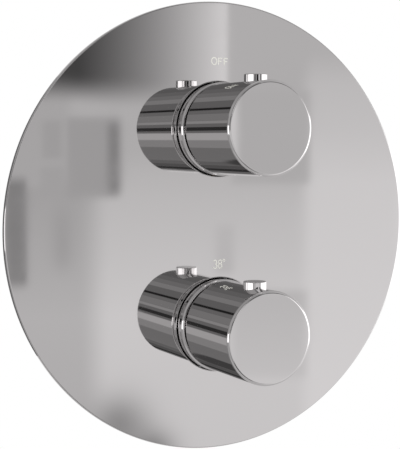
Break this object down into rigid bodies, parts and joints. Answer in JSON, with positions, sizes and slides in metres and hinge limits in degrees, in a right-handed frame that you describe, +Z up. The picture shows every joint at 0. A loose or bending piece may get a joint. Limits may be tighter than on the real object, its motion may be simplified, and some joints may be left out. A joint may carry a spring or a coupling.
{
  "type": "concealed thermostatic shower valve",
  "caption": "Round chrome wall plate with an upper flow knob and a lower temperature knob, each with a push-button, on a concealed brass thermostatic mixing body.",
  "frame": {"origin": "centre of the round cover plate, on the finished-wall plane where its gasket rests", "axes": "+Z up, -Y out into the room towards the user, +X to the right seen from the room"},
  "size_m": [0.21, 0.1197, 0.21],
  "materials": {
    "polished_chrome": "mirror-polished chrome plating on brass",
    "brass": "dull cast and machined brass",
    "black_rubber": "matt black rubber",
    "grey_foam": "closed-cell foam",
    "white_plastic": "moulded acetal",
    "black_plastic": "moulded glass-filled nylon",
    "red_plastic": "moulded acetal",
    "steel": "stainless steel",
    "copper": "copper wax capsule",
    "ceramic_white": "lapped alumina"
  },
  "bodies": {
    "fixed_body": {"cover_plate": "polished_chrome", "wall_gasket": "grey_foam", "flow_sleeve_seal": "black_rubber", "temperature_sleeve_seal": "black_rubber", "flow_sleeve": "polished_chrome", "temperature_sleeve": "polished_chrome", "flow_stop_ring": "white_plastic", "temperature_stop_ring": "white_plastic", "flow_headwork_body": "brass", "fixed_ceramic_disc": "ceramic_white", "flow_seat_seal": "black_rubber", "thermostat_housing": "brass", "thermostat_o_rings": "black_rubber", "thermostat_seat_ring": "brass", "return_spring": "steel", "thermostat_retaining_nut": "brass", "cold_check_valve_body": "white_plastic", "cold_check_spring": "steel", "cold_filter_screen": "steel", "hot_check_valve_body": "white_plastic", "hot_check_spring": "steel", "hot_filter_screen": "steel", "check_valve_o_rings": "black_rubber", "valve_body": "brass"},
    "flow_knob": {"flow_knob_shell": "polished_chrome", "flow_knob_carrier": "black_plastic", "flow_knob_set_screw": "steel", "flow_button_spring": "steel", "flow_spindle": "brass", "flow_spindle_o_ring": "black_rubber", "flow_spindle_clip": "steel", "turning_ceramic_disc": "ceramic_white"},
    "flow_button": {"flow_button": "polished_chrome", "flow_stop_slider": "red_plastic"},
    "temperature_knob": {"temperature_knob_shell": "polished_chrome", "temperature_knob_carrier": "black_plastic", "temperature_knob_set_screw": "steel", "temperature_button_spring": "steel", "temperature_spindle": "brass", "temperature_spindle_o_ring": "black_rubber", "temperature_spindle_clip": "steel"},
    "temperature_button": {"temperature_button": "polished_chrome", "temperature_stop_slider": "red_plastic"},
    "thermostat_train": {"drive_nut": "white_plastic", "overtravel_plunger": "steel", "overtravel_spring": "steel", "wax_element": "copper", "thermostat_shuttle": "white_plastic"},
    "hot_poppet": {"hot_check_poppet": "black_plastic"},
    "cold_poppet": {"cold_check_poppet": "black_plastic"}
  },
  "joints": [
    {"name": "flow_turn", "type": "hinge", "parent": "fixed_body", "child": "flow_knob", "pos_m": [0, -0.03, 0.046], "axis": [0, -1, 0], "range_deg": [0, 90]},
    {"name": "flow_button_press", "type": "slide", "parent": "flow_knob", "child": "flow_button", "axis": [0, 0, -1], "range_m": [0, 0.002], "stiffness_N_per_m": 1500, "springref_m": -0.001, "deforming": ["flow_button_spring"]},
    {"name": "temperature_turn", "type": "hinge", "parent": "fixed_body", "child": "temperature_knob", "pos_m": [0, -0.03, -0.046], "axis": [0, -1, 0], "range_deg": [-160, 80]},
    {"name": "temperature_button_press", "type": "slide", "parent": "temperature_knob", "child": "temperature_button", "axis": [0, 0, -1], "range_m": [0, 0.002], "stiffness_N_per_m": 1500, "springref_m": -0.001, "deforming": ["temperature_button_spring"]},
    {"name": "thermostat_slide", "type": "slide", "parent": "fixed_body", "child": "thermostat_train", "axis": [0, -1, 0], "range_m": [-0.00067, 0.00033], "deforming": ["return_spring"]},
    {"name": "hot_check_slide", "type": "slide", "parent": "fixed_body", "child": "hot_poppet", "axis": [1, 0, 0], "range_m": [0, 0.0025], "stiffness_N_per_m": 120, "springref_m": -0.001, "deforming": ["hot_check_spring"]},
    {"name": "cold_check_slide", "type": "slide", "parent": "fixed_body", "child": "cold_poppet", "axis": [-1, 0, 0], "range_m": [0, 0.0025], "stiffness_N_per_m": 120, "springref_m": -0.001, "deforming": ["cold_check_spring"]}
  ],
  "couplings": [
    {"joint": "thermostat_slide", "follows": "temperature_turn", "m_per_rad": 0.00023873}
  ]
}
